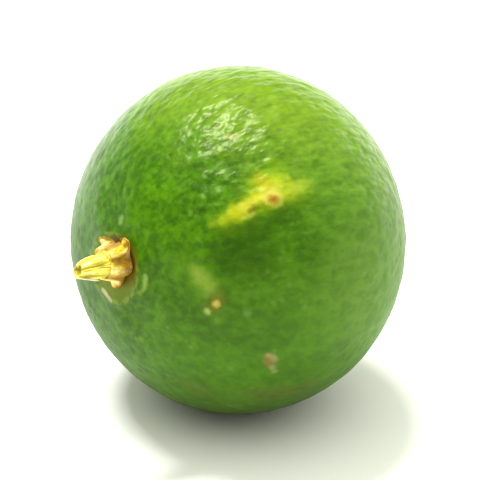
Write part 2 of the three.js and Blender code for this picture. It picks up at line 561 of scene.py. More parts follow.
@dataclass
class Rind:
    """The fruit's whole skin, with its oil glands as pits in the mesh."""

    skin: Skin
    cells_a_side: int = 126  # of each of the six faces that the ball is made from
    gland_spacing: float = 0.8
    gland_jitter: float = 0.36  # share of the spacing
    gland_radius: tuple[float, float] = (0.16, 0.32)
    gland_depth: tuple[float, float] = (0.015, 0.065)
    gland_share: float = 0.87  # of the spacing's square that each gland takes
    gland_neighbours: int = 4
    small_shade: float = 0.45  # how dark the smallest gland is, where the largest is 1
    ripples: tuple[Layer, ...] = ((0.05, 4.6, 0.0), (0.045, 1.7, 5.0), (0.016, 0.75, 9.0))
    crease: float = 0.04  # height of the creases that run from end to end
    crease_zone: tuple[float, float] = (0.45, 0.95)  # tilt from the stem where they fade in, in radians
    clear_stem: tuple[float, float] = (2.2, 3.6)  # pits fade in so far from the stem axis
    clear_blossom: tuple[float, float] = (0.6, 1.6)
    scar_clear: float = 0.7  # share of the pits that the scar hides
    floor_ease: float = 0.03  # how softly the skin flattens onto the surface
    seed: int = 7
    name: str = "rind"

    def ball(self) -> tuple[np.ndarray, np.ndarray]:
        """A unit ball of nearly even squares.

        Returns:
            Its points and its faces.
        """
        steps = np.tan(np.linspace(-1, 1, self.cells_a_side + 1) * math.pi / 4)
        u, v = (a.ravel() for a in np.meshgrid(steps, steps, indexing="ij"))
        one = np.ones_like(u)
        sides = [(u, v, one), (v, u, -one), (v, one, u), (u, -one, v), (one, u, v), (-one, v, u)]
        points = np.concatenate([np.stack(side, 1) for side in sides])
        points /= np.linalg.norm(points, axis=1, keepdims=True)
        _, first, number = np.unique(points.round(7), axis=0, return_index=True, return_inverse=True)
        corner = np.arange((self.cells_a_side + 1) ** 2).reshape(self.cells_a_side + 1, -1)
        square = np.stack([corner[:-1, :-1], corner[1:, :-1], corner[1:, 1:], corner[:-1, 1:]], -1)
        square = square.reshape(-1, 4)
        faces = np.concatenate([square + side * corner.size for side in range(len(sides))])
        return points[first], number.ravel()[faces]

    def glands(self, points: np.ndarray) -> tuple[np.ndarray, np.ndarray]:
        """The oil glands' pits.

        Args:
            points: Points of the spheroid, in millimetres.

        Returns:
            The depth of the skin at each point, and how much of each point is gland, 0 to 1.
        """
        lie = self.skin.lie
        mean = (2 * lie.equator_radius + lie.pole_radius) / 3
        count = int(4 * math.pi * mean**2 / (self.gland_share * self.gland_spacing**2))
        draw = np.random.default_rng(self.seed)
        order = np.arange(count) + 0.5
        level, spin = 1 - 2 * order / count, order * math.pi * (1 + math.sqrt(5))
        spots = polar(np.sqrt(1 - level**2), spin, level)
        spots *= (lie.equator_radius, lie.equator_radius, lie.pole_radius)
        spots += draw.uniform(-1, 1, spots.shape) * self.gland_spacing * self.gland_jitter
        size = draw.uniform(0, 1, count)
        radius = self.gland_radius[0] + (self.gland_radius[1] - self.gland_radius[0]) * size
        depth = self.gland_depth[0] + (self.gland_depth[1] - self.gland_depth[0]) * draw.uniform(0, 1, count)
        tree = kdtree.KDTree(count)
        for number, spot in enumerate(spots.tolist()):
            tree.insert(spot, number)
        tree.balance()
        sunk, shade = np.zeros(len(points)), np.zeros(len(points))
        for i, point in enumerate(points.tolist()):
            for _, gland, distance in tree.find_n(point, self.gland_neighbours):
                part = math.exp(-((distance / radius[gland]) ** 2))
                sunk[i] += depth[gland] * part
                dark = self.small_shade + (1 - self.small_shade) * size[gland]
                shade[i] = max(shade[i], part * dark)
        return sunk, shade

    def build(self) -> bpy.types.Object:
        """Makes the skin as one closed mesh.

        Returns:
            The piece.
        """
        lie = self.skin.lie
        ball, faces = self.ball()
        points = ball * (lie.equator_radius, lie.equator_radius, lie.pole_radius)
        scar, scarred = self.skin.scar_relief(points)
        sunk, shade = self.glands(points)
        r = lie.equator_radius * np.hypot(ball[:, 0], ball[:, 1])
        near, far = smoothstep(r, *self.clear_stem), smoothstep(r, *self.clear_blossom)
        clear = np.where(ball[:, 2] > 0, near, far)
        turn, tilt = np.arctan2(ball[:, 1], ball[:, 0]), np.arccos(ball[:, 2])
        creases = grain(polar(12, turn, 5 * tilt), 0.9, 3.0) * smoothstep(tilt, *self.crease_zone)
        ripple = grains(points, self.ripples) + self.crease * creases
        pitted = clear * (1 - self.scar_clear * scarred)
        height = self.skin.height(ball) + scar + clear * ripple - pitted * sunk
        outward = points / np.linalg.norm(points, axis=1, keepdims=True)
        laid = lie.laid(points + outward * height[:, None])
        laid[:, 2] = (laid[:, 2] + np.sqrt(laid[:, 2] ** 2 + self.floor_ease**2)) / 2
        return make_mesh(self.name, laid * MM, faces.tolist(), {"gland": shade * pitted})


@dataclass(frozen=True)
class Side:
    """A side of the fruit or of the sky: its way, and how far along it starts and is full."""

    way: Way
    start: float
    full: float

    def share(self, spot: Wire, drift: Wire | None = None) -> Wire:
        """How much of each place is on this side, 0 to 1; drift moves the edge."""
        reach = spot.dot(self.way)
        return (reach if drift is None else reach + drift).rise(self.start, self.full)


class Brush:
    """Lays strokes over the colour of the rind."""

    def __init__(self, coat: Coat) -> None:
        """Makes the noise that tears the strokes' edges and the noise that mottles them.

        Args:
            coat: What the strokes are laid on.
        """
        self.coat = coat
        self.ragged = coat.noise(coat.spot, 1.0, 3.0, 0.6) - 0.5
        self.mottled = 0.72 + 0.28 * coat.noise(coat.spot, 0.7, 3.0, 0.6).rise(0.36, 0.56)

    def lay(self, strokes: tuple[Stroke, ...]) -> None:
        """Lays strokes over the coat.

        Args:
            strokes: The strokes, the lowest first.
        """
        for stroke in strokes:
            start, end = (self.coat.lie.on_skin(*place) for place in (stroke.start, stroke.end))
            offset = self.coat.spot - plain(start)
            length = float(np.linalg.norm(end - start))
            if length > 0:
                way = plain((end - start) / length)
                offset = offset - offset.dot(way).within(0.0, length).scale(way)
            distance = offset.length() + 2 * stroke.wander * stroke.radius * self.ragged
            cover = distance.rise(stroke.radius, stroke.radius * (1 - stroke.softness))
            self.coat.over(cover * self.mottled * stroke.strength, seen(*stroke.colour))


@dataclass(frozen=True)
class RindFinish:
    """Waxy green rind, mottled, with darker glands, pale halos at both ends, its scar and its marks, and some
    painted light and shade.
    """

    deep: Colour = seen(58, 114, 3)
    fresh: Colour = seen(108, 176, 12)
    # yellower green: partly the skin's own colour, partly painted light on the lit top
    yellow_and_lit: Colour = seen(150, 192, 18)
    gland: Colour = seen(58, 112, 4)
    fleck: Colour = seen(150, 200, 80)
    # painted reflection: paler green where the right side reflects the bright surroundings
    painted_reflection: Colour = seen(140, 194, 66)
    low: Colour = seen(86, 114, 18)
    shade: Colour = seen(52, 98, 6)
    olive: Colour = seen(138, 158, 6)
    # painted highlight on the collar's crest
    collar_highlight: Colour = seen(180, 204, 80)
    husky: Colour = seen(136, 96, 8)
    blossom: Colour = seen(190, 206, 80)
    style: Colour = seen(104, 66, 16)
    cork: Colour = seen(190, 146, 78)
    wax: Colour = (1.0, 1.0, 0.58)  # of its sheen
    shade_reach: float = 3.4  # how far below the scar the painted shade reaches
    mottle_drawn: float = 0.35  # share by which the mottle is drawn out from end to end
    weave_drawn: float = 0.55
    weave_depth: float = 0.26
    # painted reflection on the right side
    painted_reflection_side: Side = Side((0.95, -0.25, 0.2), 7.0, 14.0)
    calm_side: Side = Side((0.7, -0.2, -0.7), -8.0, 8.0)  # where it is least mottled
    # painted shade: deeper green on the left, away from the light
    painted_shade_side: Side = Side((-0.9, -0.2, 0.1), 6.0, 13.0)
    # where the yellower green lies: partly painted light on the lit top
    yellow_and_lit_side: Side = Side((0.3, 0.45, 1.0), 5.0, 15.0)
    low_side: Side = Side((0.1, -0.1, -1.0), 6.0, 14.0)
    lively_side: Side = Side((0.0, 0.1, 1.0), -4.0, 10.0)  # where it shines and is wrinkled
    smooth_side: Side = Side((-0.95, -0.1, 0.1), 3.0, 11.0)
    scar: tuple[Stroke, ...] = (
        # pale-green skirts
        Stroke((44.1, 126.0), (70.5, 130.2), 1.9, (154, 204, 16), 0.7, 0.95, 0.35),
        Stroke((56.9, 137.0), (64.0, 138.0), 2.0, (158, 206, 16), 0.65, 0.95, 0.35),
        # yellow-green body, thinner at both ends
        Stroke((58.0, 131.5), (65.0, 131.8), 1.5, (216, 234, 24), 0.85, 0.75, 0.4),
        Stroke((59.5, 136.0), (63.5, 135.0), 1.2, (210, 232, 26), 0.7, 0.95, 0.4),
        Stroke((39.4, 127.0), (46.0, 127.8), 0.6, (176, 208, 36), 0.6, 0.95, 0.4),
        Stroke((43.6, 127.4), (52.0, 128.6), 0.8, (214, 230, 36), 0.8, 0.95, 0.4),
        Stroke((48.5, 128.4), (58.0, 131.4), 1.15, (232, 238, 36), 0.9, 0.8, 0.4),
        Stroke((64.0, 131.0), (70.0, 131.0), 0.95, (206, 230, 50), 0.75, 0.9, 0.4),
        Stroke((67.5, 130.8), (72.6, 131.2), 0.85, (190, 216, 70), 0.5, 0.95, 0.4),
        # bright yellow core
        Stroke((50.5, 129.6), (62.0, 131.0), 0.8, (255, 250, 80), 0.8, 0.8, 0.5),
        Stroke((58.5, 133.6), (64.0, 132.6), 0.6, (255, 252, 100), 0.7, 0.9, 0.5),
        # painted shade: dark green below its lower end
        Stroke((45.0, 112.5), (52.5, 110.5), 3.1, (50, 98, 6), 0.7, 0.95, 0.3),
    )
    marks: tuple[Stroke, ...] = (
        # the scar's orange edge, brown spot in a cream ring, dark and pale streaks
        Stroke((58.6, 138.5), (60.6, 135.5), 0.9, (222, 196, 24), 0.5),
        Stroke((59.2, 130.4), (61.4, 128.8), 0.9, (255, 246, 110), 0.75, 0.8),
        Stroke((60.1, 129.4), (61.0, 128.9), 0.62, (196, 126, 0), 1.0, 0.75, 0.3),
        Stroke((52.6, 127.7), (54.0, 128.3), 0.5, (84, 92, 0), 1.0, 0.85, 0.25),
        Stroke((49.8, 125.6), (53.2, 126.3), 0.34, (228, 230, 100), 0.8, 0.9),
        # yellow-green patch towards the stem
        Stroke((26.0, 104.5), (34.4, 94.5), 2.0, (120, 182, 26), 0.65, 0.95, 0.35),
        Stroke((31.4, 100.4), (35.8, 92.4), 1.1, (184, 216, 80), 0.7, 0.95, 0.4),
        # olive-brown patch with a yellow and a pale-green dot
        Stroke((37.4, 79.5), (39.8, 90.0), 1.0, (126, 136, 24), 0.5, 0.9),
        Stroke((38.6, 82.6), (39.6, 86.2), 0.8, (156, 140, 24), 0.65, 0.9, 0.8),
        Stroke((39.1, 83.8), (39.6, 84.6), 0.46, (250, 232, 112), 0.95, 0.9),
        Stroke((37.3, 78.4), (37.5, 78.0), 0.42, (196, 236, 118), 0.95, 0.8),
        # reddish mark low on the side
        Stroke((62.6, 66.2), (65.4, 63.0), 0.95, (150, 152, 80), 0.5, 0.9),
        Stroke((62.2, 67.0), (65.0, 65.6), 0.5, (200, 190, 116), 0.65, 0.85),
        Stroke((62.8, 64.6), (64.2, 63.0), 0.55, (172, 122, 70), 0.65, 0.9),
        Stroke((66.0, 61.6), (67.6, 60.0), 0.5, (176, 196, 108), 0.65, 0.9),
        # faint pale specks, partly painted glints, and one warm spot painted pale within the highlight
        Stroke((50.1, 83.4), (50.5, 83.0), 0.5, (126, 184, 80), 0.7),
        Stroke((28.6, 51.2), (28.6, 51.2), 0.3, (140, 184, 96), 0.6, 0.9),
        Stroke((58.8, 159.8), (60.0, 158.0), 0.5, (226, 200, 130), 0.5),
        Stroke((43.9, 151.8), (43.9, 151.0), 0.3, (160, 208, 100), 0.8),
        Stroke((49.7, 145.4), (49.7, 144.6), 0.34, (150, 202, 84), 0.7),
        Stroke((45.5, 142.3), (45.5, 141.5), 0.38, (166, 214, 110), 0.8),
        Stroke((40.2, 143.4), (40.2, 142.2), 0.3, (160, 210, 100), 0.8),
        Stroke((13.4, 197.0), (14.6, 198.0), 0.5, (166, 212, 96), 0.8, 0.85),
        # broad dull patches near the surface
        Stroke((51.2, 28.9), (56.0, 30.0), 1.6, (120, 144, 44), 0.45),
        Stroke((70.0, 46.0), (84.0, 54.0), 1.7, (112, 108, 44), 0.4),
        # painted highlights on the collar's rim: a pale line low on the left and yellow-green dabs on the
        # right
        Stroke((16.0, 322.0), (15.9, 331.0), 0.2, (170, 170, 96), 0.5, 0.9),
        Stroke((15.9, 331.0), (16.2, 351.0), 0.3, (246, 238, 190), 0.9, 0.7),
        Stroke((12.6, 82.0), (13.8, 67.0), 0.42, (180, 220, 100), 0.85, 0.9),
        Stroke((13.7, 62.0), (13.4, 54.0), 0.4, (172, 206, 84), 0.75, 0.9),
    )

    def material(self, skin: Skin) -> bpy.types.Material:
        """Makes the rind's material.

        Args:
            skin: The form of the rind, with its scar.

        Returns:
            The material.
        """
        coat = Coat("rind_wax", skin.lie, self.deep)
        self.ground(coat)
        self.ends(coat, skin)
        brush = Brush(coat)
        brush.lay(self.scar)
        self.shaded(coat, skin)
        brush.lay(self.marks)
        lively = self.lively_side.share(coat.spot)
        smooth = self.smooth_side.share(coat.spot)
        weave = coat.noise(coat.drawn(self.weave_drawn), 0.85, 1.5, 0.45) - 0.5
        weave = weave * (0.15 + 0.85 * lively) * (1 - 0.7 * smooth)
        coat.set(
            base_color=coat.colour,
            roughness=0.52 - 0.2 * lively + 0.1 * (coat.noise(coat.spot, 1.1) - 0.5),
            specular_ior_level=0.2,
            specular_tint=self.wax,
            subsurface_weight=0.1,
            subsurface_radius=(1.0, 1.4, 0.3),
            subsurface_scale=0.7 * MM,
            normal=coat.relief(weave, self.weave_depth),
        )
        return coat.material

    def ground(self, coat: Coat) -> None:
        """Mottled green, yellower on top (partly painted light), paler on the right (painted reflection),
        deeper green on the left (painted shade), duller below, with darker glands.

        Args:
            coat: What it is laid on.
        """
        spot, drawn = coat.spot, coat.drawn(self.mottle_drawn)
        broad = coat.noise(spot, 5.0, 2.0).rise(0.34, 0.66)
        fine = coat.noise(drawn, 0.8, 2.5, 0.6).rise(0.32, 0.68)
        drift = 6 * (coat.noise(spot, 4.0) - 0.5)
        side = self.painted_reflection_side.share(spot, drift)
        calm = self.calm_side.share(spot, drift)
        coat.over(broad * 0.3 + fine * (0.7 - 0.4 * calm) + 0.12 * calm, self.fresh)
        # painted shade: deeper green on the left, away from the light
        coat.over(self.painted_shade_side.share(spot, drift) * (0.5 - 0.25 * fine), self.deep)
        # yellower on top: partly the skin's own colour, partly painted light from above
        coat.over(self.yellow_and_lit_side.share(spot, drift) * (0.55 + 0.3 * fine), self.yellow_and_lit)
        # painted reflection: paler on the right side
        coat.over(side * (0.4 + 0.2 * fine), self.painted_reflection)
        coat.over(self.low_side.share(spot, drift) * 0.7, self.low)
        flecks = coat.cells(spot, 0.9).rise(0.42, 0.12) * coat.noise(spot, 2.4).rise(0.45, 0.7)
        coat.over(flecks * 0.32, self.fleck)
        coat.over(coat.attribute("gland") * 0.3, self.gland)

    def ends(self, coat: Coat, skin: Skin) -> None:
        """The olive ring round the calyx with a painted highlight on the collar's crest, and the pale ring
        and brown scar at the blossom end.

        Args:
            coat: What they are laid on.
            skin: The form of the rind.
        """
        spot, stem = coat.spot, coat.stem
        along = spot.dot(stem)
        out = (spot - along.scale(stem)).length()
        aside = spot - plain(skin.lie.axes() @ skin.collar_middle())
        ring = (aside - aside.dot(stem).scale(stem)).length()
        wander = coat.noise(spot, 1.0, 3.0, 0.6) - 0.5
        ragged = ring + 0.9 * wander
        front = along.rise(0.0, 4.0)
        reach = skin.collar_radius
        coat.over(front * ragged.rise(reach + 0.5, reach - 1.0) * 0.85, self.olive)
        # painted highlight along the collar's crest
        collar_highlight = ragged.rise(reach + 0.3, reach + 0.02) * ragged.rise(reach - 0.4, reach - 0.05)
        coat.over(front * collar_highlight * wander.rise(-0.1, 0.1) * 0.6, self.collar_highlight)
        coat.over(front * (out + 0.5 * wander).rise(2.5, 1.7) * 0.75, self.husky)
        back = along.rise(0.0, -4.0)
        coat.over(back * (out + 2.6 * wander).rise(3.6, 0.6) * 0.5, self.blossom)
        torn = out + 0.7 * (coat.noise(spot, 0.35, 3.0, 0.6) - 0.5)
        coat.over(back * torn.rise(0.85, 0.6) * 0.85, self.style)
        coat.over(back * torn.rise(0.55, 0.35) * 0.8, self.cork)
        coat.over(back * torn.rise(0.2, 0.08), self.style)

    def shaded(self, coat: Coat, skin: Skin) -> None:
        """Painted shade: the skin darkened in the lee of the scar's shoulder.

        Args:
            coat: What it is laid on.
            skin: The form of the rind.
        """
        middle, along, across, half = skin.scar.frame(skin.lie)
        offset = coat.spot - plain(middle)
        down = 0.8 * (coat.noise(coat.spot, 1.6) - 0.5) - offset.dot(plain(across))
        beside = abs(offset.dot(plain(along))) + 0.45 * down
        zone = down.rise(0.6, 1.15) * down.rise(self.shade_reach, 1.5) * beside.rise(half * 1.2, half * 0.45)
        coat.over(zone * 0.5, self.shade)


@dataclass
class Calyx:
    """The dry calyx: five blunt sepals round a steep crown, creased and curling off the skin."""

    skin: Skin
    turns: tuple[float, ...] = (228.0, 298.0, 362.0, 442.0, 521.0)  # of the sepals' middles
    tips: tuple[float, ...] = (2.4, 2.5, 2.4, 1.65, 2.45)
    lifts: tuple[float, ...] = (0.85, 0.3, 0.25, 0.1, 0.45)
    notch_radius: float = 1.42
    point: float = 1.7
    edge: float = 0.42
    thin_edge: float = 0.2
    crown: float = 1.95
    crown_radius: float = 1.1
    dome_radius: float = 1.85
    keel: float = 0.2
    cup: float = 0.22  # how much a sepal's sides curl up, as a share of its lift
    frays: tuple[Layer, ...] = ((0.05, 0.14, 3.0), (0.03, 0.05, 8.0))  # of the rim
    crumples: tuple[Layer, ...] = ((0.16, 0.7, 4.0), (0.09, 0.3, 6.0))
    rib_height: float = 0.025
    rib_count: int = 15
    thinnest: float = 0.08
    press: float = 0.05  # gap under the calyx
    base: float = 0.15  # how far the crown starts over the skin
    crown_slack: float = 0.05  # how far the mesh may stand over the crown
    rim_start: float = 0.985  # share of the way out where the rim begins
    rim_levels: tuple[float, ...] = (0.2, 0.5, 0.8)
    sides: int = 300
    under_rings: int = 18
    over_rings: int = 60
    name: str = "calyx_husk"

    def crown_height(self) -> float:
        """Height of the flat crown over the fruit's middle."""
        return float(self.skin.seat_height(np.array(0.0), np.array(0.0))) + self.base + self.crown

    def sepal_share(self, turn: np.ndarray) -> tuple[np.ndarray, np.ndarray, np.ndarray]:
        """Where a turn is on the sepals.

        Args:
            turn: Angle round the stem axis, in radians.

        Returns:
            The sepal's number, the share from notch to tip, and the place across the sepal.
        """
        first = self.turns[0]
        wound = (np.degrees(turn) - first) % 360 + first
        places = np.interp(wound, [*self.turns, first + 360], np.arange(len(self.turns) + 1))
        nearest = np.round(places)
        aside = places - nearest
        return nearest.astype(int) % len(self.tips), np.cos(aside * math.pi) ** self.point, aside

    def build(self) -> bpy.types.Object:
        """Makes the calyx as one closed mesh.

        Returns:
            The piece.
        """
        rim = [(1.0, level) for level in self.rim_levels]
        under = [(reach, 0.0) for reach in np.linspace(0, self.rim_start, self.under_rings)[1:]]
        over = [(reach, 1.0) for reach in np.linspace(self.rim_start, 0, self.over_rings)[:-1]]
        profile = [(0.0, 0.0), *under, *rim, *over, (0.0, 1.0)]
        rings = len(profile) - 2
        reach, level = np.repeat(np.array(profile), [1, *[self.sides] * rings, 1], axis=0).T
        turn = np.concatenate([[0], np.tile(turns_round(self.sides), rings), [0]])
        points, values = self.shape(reach, level, turn)
        faces = ring_faces(rings, self.sides)
        return make_mesh(self.name, self.skin.lie.laid(points) * MM, faces, values)

    def shape(self, reach: np.ndarray, level: np.ndarray, turn: np.ndarray) -> tuple[np.ndarray, dict]:
        """Places the calyx's points.

        Args:
            reach: Share of the way from the stem axis to the rim.
            level: 0 on the underside, 1 on top.
            turn: Angle round the stem axis, in radians.

        Returns:
            The points in millimetres, and the numbers that the finish reads.
        """
        sepal, share, aside = self.sepal_share(turn)
        tip = np.array(self.tips)[sepal]
        lift = np.array(self.lifts)[sepal]
        around = polar(1, turn, np.zeros_like(turn))
        fray = 1 + grains(around, self.frays) * reach**3
        r = reach * (self.notch_radius + (tip - self.notch_radius) * share) * fray
        curl = lift * share * reach**3
        cupped = self.cup * lift * (2 * np.abs(aside)) ** 2 * reach**4
        under = self.skin.seat_height(r, turn) + self.press + curl + cupped
        edge = self.edge + (self.thin_edge - self.edge) * smoothstep(reach, 0.55, 1.0)
        dome = self.crown * (1 - smoothstep(r, self.crown_radius, self.dome_radius))
        keel = self.keel * share**4 * smoothstep(r, self.crown_radius, self.notch_radius)
        keel *= 1 - smoothstep(reach, 0.8, 1.0)
        flat = polar(r, turn, level)
        bends = self.rib_count * turn + 6 * grain(flat, 1.4, 2.0)
        ribs = self.rib_height * np.cos(bends) * smoothstep(r, 0.9, 1.3)
        crumple = grains(flat, self.crumples)
        over = np.minimum(under + edge + dome + keel, self.crown_height() + self.crown_slack)
        over = over + (ribs + crumple) * smoothstep(r, 0.6, 1.2) * (1 - 0.5 * smoothstep(reach, 0.9, 1.0))
        height = under + (np.maximum(over, under + self.thinnest) - under) * level
        values = {
            "rib": np.clip(0.5 + 6 * (ribs + crumple) + 1.5 * keel, 0, 1),
            "tip": smoothstep(reach, 0.7, 1.0),
            "notch": (1 - share) * smoothstep(reach, 0.45, 0.9),
            "dome": 1 - smoothstep(r, self.crown_radius, self.dome_radius),
        }
        return polar(r, turn, height), values


@dataclass(frozen=True)
class HuskFinish:
    """Dry orange-brown calyx with pale ridges and dark creases, the dark partly painted shade in its creases,
    notches and rim.
    """

    body: Colour = srgb(232, 190, 46)
    ridge: Colour = srgb(252, 234, 150)
    # dark brown, also used as painted shade in the creases, the notches and along the rim
    crease: Colour = srgb(116, 68, 8)
    green: Colour = srgb(222, 202, 44)
    rust: Colour = srgb(198, 124, 20)
    grey: Colour = srgb(146, 116, 84)

    def material(self, lie: Lie) -> bpy.types.Material:
        """Makes the calyx's material.

        Args:
            lie: How the fruit lies.

        Returns:
            The material.
        """
        coat = Coat("calyx_husk", lie, self.body)
        blotch = coat.noise(coat.spot, 0.8, 3.0, 0.6)
        fine = coat.noise(coat.spot, 0.2, 3.0, 0.6)
        rib, tip = coat.attribute("rib"), coat.attribute("tip")
        coat.over(blotch.rise(0.42, 0.6) * 0.7, self.green)
        coat.over(blotch.rise(0.5, 0.38) * 0.7, self.rust)
        coat.over(coat.attribute("dome") * 0.4, self.green)
        coat.over(rib.rise(0.5, 0.95) * 0.85, self.ridge)
        # darker in the creases, the notches between sepals and along the rim: partly brown, partly painted
        # shade
        coat.over(rib.rise(0.4, 0.1) * 0.6, self.crease)
        coat.over(coat.attribute("notch") * 0.4, self.crease)
        coat.over(tip * blotch.rise(0.5, 0.6) * 0.4, self.crease)
        coat.over(tip.rise(0.75, 1.0) * 0.5, self.crease)
        coat.over(coat.noise(coat.spot, 1.0).rise(0.53, 0.66) * 0.5, self.grey)
        coat.over(fine.rise(0.5, 0.7) * 0.35, self.crease)
        coat.set(
            base_color=coat.colour,
            roughness=0.55 + 0.3 * (fine - 0.5),
            specular_ior_level=0.25,
            normal=coat.relief(fine, 0.09),
        )
        return coat.material


class Strand(Enum):
    """The splinters of the snapped stem.

    Each has its turn, its start and end as shares of the stem's length, half its width, how far its
    start and its end are from the stem's middle, and its paleness.
    """

    LONG_TOP = (215.0, 0.45, 1.04, 0.17, 0.8, 0.42, 0.85)
    LONG_FAR = (262.0, 0.5, 1.06, 0.14, 0.78, 0.4, 0.85)
    PALE_LOW = (10.0, 0.1, 1.3, 0.16, 1.24, 0.34, 1.5)
    SHORT_NEAR = (95.0, 0.4, 0.95, 0.15, 0.8, 0.5, 0.85)
    SHORT_SIDE = (140.0, 0.42, 1.0, 0.16, 0.8, 0.42, 0.85)
    THIN_LOW = (318.0, 0.5, 1.03, 0.12, 0.8, 0.45, 0.85)


@dataclass
class Stem:
    """The snapped stem: a ridged, tapering stub with a hollow, splintered end."""

    skin: Skin
    calyx: Calyx
    root_radius: float = 0.98
    waist_radius: float = 0.9
    tip_radius: float = 0.52
    length: float = 2.75
    stand: float = 0.15  # how far it starts over the calyx's crown
    shift: float = 0.15  # how far the foot is off the stem axis
    bend: float = 0.1  # how much further off the tip is
    bend_turn: float = 5.0
    slant: float = 0.15  # how much further one side of the end reaches than its middle
    slant_turn: float = 20.0
    dent_depth: float = 0.2
    dent_place: float = 0.68  # share of the length
    dent_turn: float = 42.0
    dent_length: float = 0.13  # share of the length
    dent_spread: float = 0.12
    sunk: float = 0.35  # how far the foot goes into the calyx
    hollow: float = 0.35
    ridge: float = 0.11
    ridge_count: int = 5
    fibre: float = 0.06  # height of its fibres, as a share of its radius
    fine_fibre: float = 0.03
    broken: float = 0.16  # how uneven the broken end is
    sides: int = 120
    rings: int = 70
    cap_rings: int = 14
    strand_rings: int = 16
    strand_sides: int = 10
    strand_flatness: float = 0.6
    strand_sway: float = 0.12  # in radians
    name: str = "stem_stub"

    def bent(self, x: np.ndarray, y: np.ndarray, share: np.ndarray) -> np.ndarray:
        """Stands points on the calyx and bends them with the stem.

        Args:
            x: Place across the straight stem.
            y: Place across it the other way.
            share: Share of its length.

        Returns:
            The points about the fruit's middle.
        """
        foot = self.calyx.crown_height() + self.stand
        shift = self.shift + self.bend * np.clip(share, 0, 2) ** 2
        turn = math.radians(self.bend_turn)
        lean = math.radians(self.slant_turn)
        tip = self.slant * np.clip(share, 0, 1.3) ** 4 / self.tip_radius
        height = foot + self.length * share + tip * (x * math.cos(lean) + y * math.sin(lean))
        return np.stack([x + shift * math.cos(turn), y + shift * math.sin(turn), height], 1)

    def radius(self, share: np.ndarray) -> np.ndarray:
        """The stub's mean radius.

        Args:
            share: Share of its length.

        Returns:
            The radius there.
        """
        grown = np.clip(share, 0, 1)
        root = (self.root_radius - self.waist_radius) * (1 - grown) ** 4
        return self.waist_radius + root - (self.waist_radius - self.tip_radius) * grown**3

    def build(self) -> bpy.types.Object:
        """Makes the stub and its splinters as one mesh of closed shells.

        Returns:
            The piece.
        """
        points, faces, pale = self.stub()
        for strand in Strand:
            more, closed, bright = self.splinter(*strand.value)
            faces += [tuple(i + len(points) for i in face) for face in closed]
            points = np.concatenate([points, more])
            pale = np.concatenate([pale, bright])
        return make_mesh(self.name, self.skin.lie.laid(points) * MM, faces, {"pale": pale})

    def stub(self) -> tuple[np.ndarray, list, np.ndarray]:
        """The ridged body and its broken end.

        Returns:
            Its points, its faces and the paleness of each point.
        """
        side = np.linspace(-self.sunk / self.length, 1, self.rings)
        cap = np.linspace(1, 0, self.cap_rings)[1:-1]
        share = np.concatenate([side, np.ones(len(cap))])
        reach = np.concatenate([np.ones(self.rings), cap])
        turn = np.tile(turns_round(self.sides), len(share))
        share, reach = np.repeat(share, self.sides), np.repeat(reach, self.sides)
        around = polar(2, turn, share * 0.5)
        main = np.cos(self.ridge_count * (turn - math.radians(self.calyx.turns[0])))
        main *= np.clip(share * 4, 0, 1)
        fibre = grain(around, 0.28, 2.0)
        fine = grain(around, 0.11, 5.0)
        facing = np.cos(turn - math.radians(self.dent_turn))
        dent = bump(share, self.dent_place, self.dent_length) * bump(facing, 1, self.dent_spread)
        grown = 1 + self.ridge * main + self.fibre * fibre + self.fine_fibre * fine
        r = (self.radius(share) * grown - self.dent_depth * dent) * reach
        points = self.bent(r * np.cos(turn), r * np.sin(turn), share)
        broken = self.broken * grain(points * (1, 1, 0), 0.2, 1.0)
        points[:, 2] += smoothstep(share, 0.93, 1.0) * broken
        points[:, 2] -= (share >= 1) * self.hollow * (1 - reach**2)
        ends = self.bent(np.zeros(2), np.zeros(2), np.array([-self.sunk / self.length, 1.0]))
        ends[1, 2] -= self.hollow
        points = np.concatenate([ends[:1], points, ends[1:]])
        # paleness, lower between the ridges, in the dent and towards the middle of the broken end: painted
        # shade in those hollows
        pale = np.clip(0.5 + 0.3 * main + 0.5 * fibre + 0.2 * fine - dent, 0, 1) * smoothstep(reach, 0.3, 0.9)
        pale = np.concatenate([[0.5], pale, [0.0]])
        return points, ring_faces(len(side) + len(cap), self.sides), pale

    def splinter(
        self, turn: float, start: float, end: float, width: float, root: float, tip: float, paleness: float
    ) -> tuple[np.ndarray, list, np.ndarray]:
        """One splinter along the stub's side.

        Args:
            turn: Where round the stub it is, in degrees.
            start: Where it starts, as a share of the stub's length.
            end: Where it ends.
            width: Half its width.
            root: How far its start is from the stub's middle.
            tip: How far its end is.
            paleness: How dry and pale it is, 0 to 1.5.

        Returns:
            Its points, its faces and the paleness of each point.
        """
        share = np.repeat(np.linspace(0, 1, self.strand_rings), self.strand_sides)
        angle = np.tile(turns_round(self.strand_sides), self.strand_rings)
        place = start + (end - start) * share
        thick = width * np.sqrt(np.clip(1 - share**2, 0.01, 1)) * np.clip(0.3 + 4 * share, 0, 1)
        out = root + (tip - root) * share
        at = math.radians(turn) + self.strand_sway * np.sin(5 * share)
        out = out + self.strand_flatness * thick * np.cos(angle)
        x = out * np.cos(at) - thick * np.sin(angle) * np.sin(at)
        y = out * np.sin(at) + thick * np.sin(angle) * np.cos(at)
        points = self.bent(x, y, place)
        first, last = points[: self.strand_sides].mean(0), points[-self.strand_sides :].mean(0)
        points = np.concatenate([[first], points, [last]])
        return points, ring_faces(self.strand_rings, self.strand_sides), np.full(len(points), paleness)


